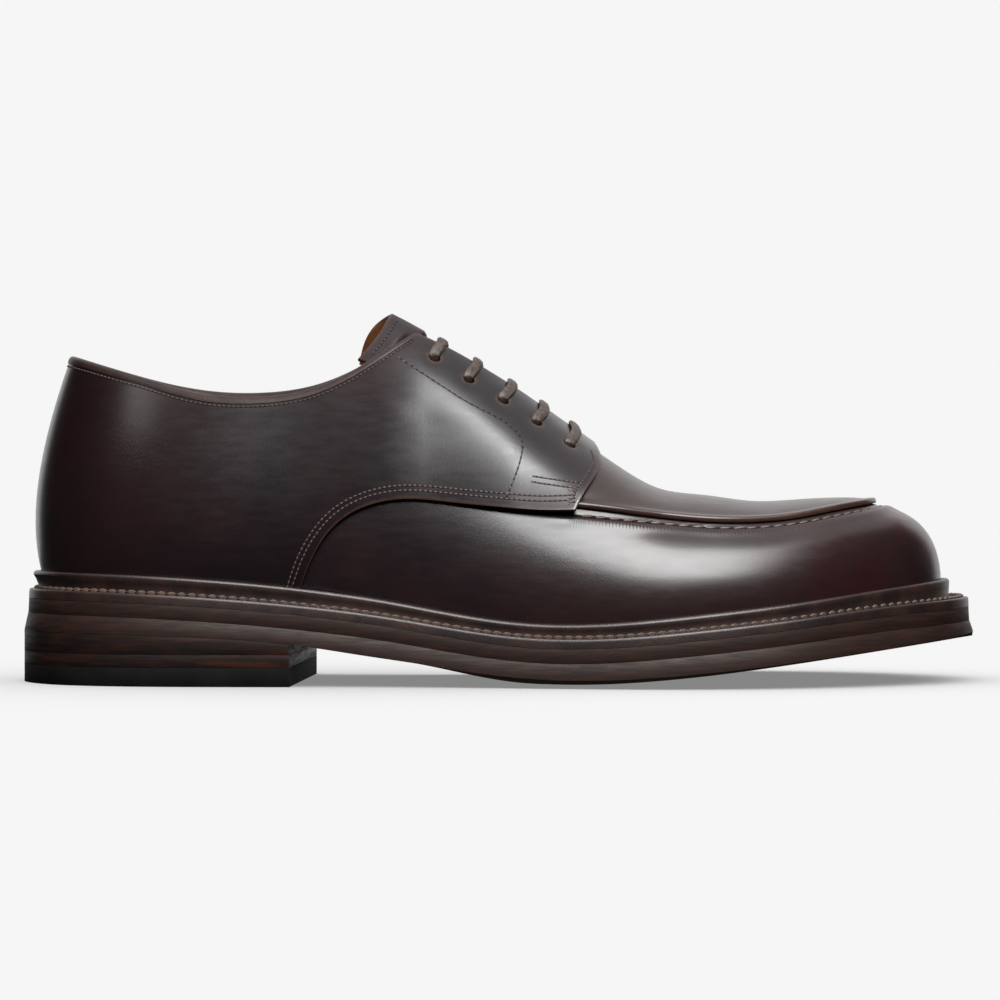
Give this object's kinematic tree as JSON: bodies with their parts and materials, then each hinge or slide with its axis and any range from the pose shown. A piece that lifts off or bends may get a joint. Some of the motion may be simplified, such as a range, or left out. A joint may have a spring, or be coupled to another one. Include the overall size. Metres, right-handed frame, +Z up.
{
  "type": "apron toe derby",
  "caption": "Low lace-up leather derby shoe with a raised apron toe, storm welt, double leather sole and stacked heel.",
  "frame": {"origin": "on the floor, at the middle of the shoe's length and width", "axes": "+X towards the toe, +Y towards the medial side, +Z up"},
  "size_m": [0.306, 0.1125, 0.1187],
  "materials": {
    "vamp_leather": "polished dark burgundy calf",
    "quarter_leather": "polished dark burgundy calf",
    "tongue_leather": "dark burgundy calf, tan lining",
    "lining_leather": "natural tan lining",
    "welt_leather": "dark waxed welt leather",
    "sole_leather": "stained and waxed sole edge",
    "heel_leather": "stained stacked leather",
    "top_piece_rubber": "matt black",
    "waxed_cotton": "waxed round cord"
  },
  "bodies": {
    "root": {"upper": "vamp_leather", "apron": "vamp_leather", "quarter_lateral": "quarter_leather", "quarter_medial": "quarter_leather", "tongue": "tongue_leather", "insole": "lining_leather", "welt": "welt_leather", "midsole": "sole_leather", "outsole": "sole_leather", "heel_lift_upper": "heel_leather", "heel_lift_lower": "heel_leather", "heel_top_piece": "top_piece_rubber", "lace": "waxed_cotton"}
  },
  "joints": []
}
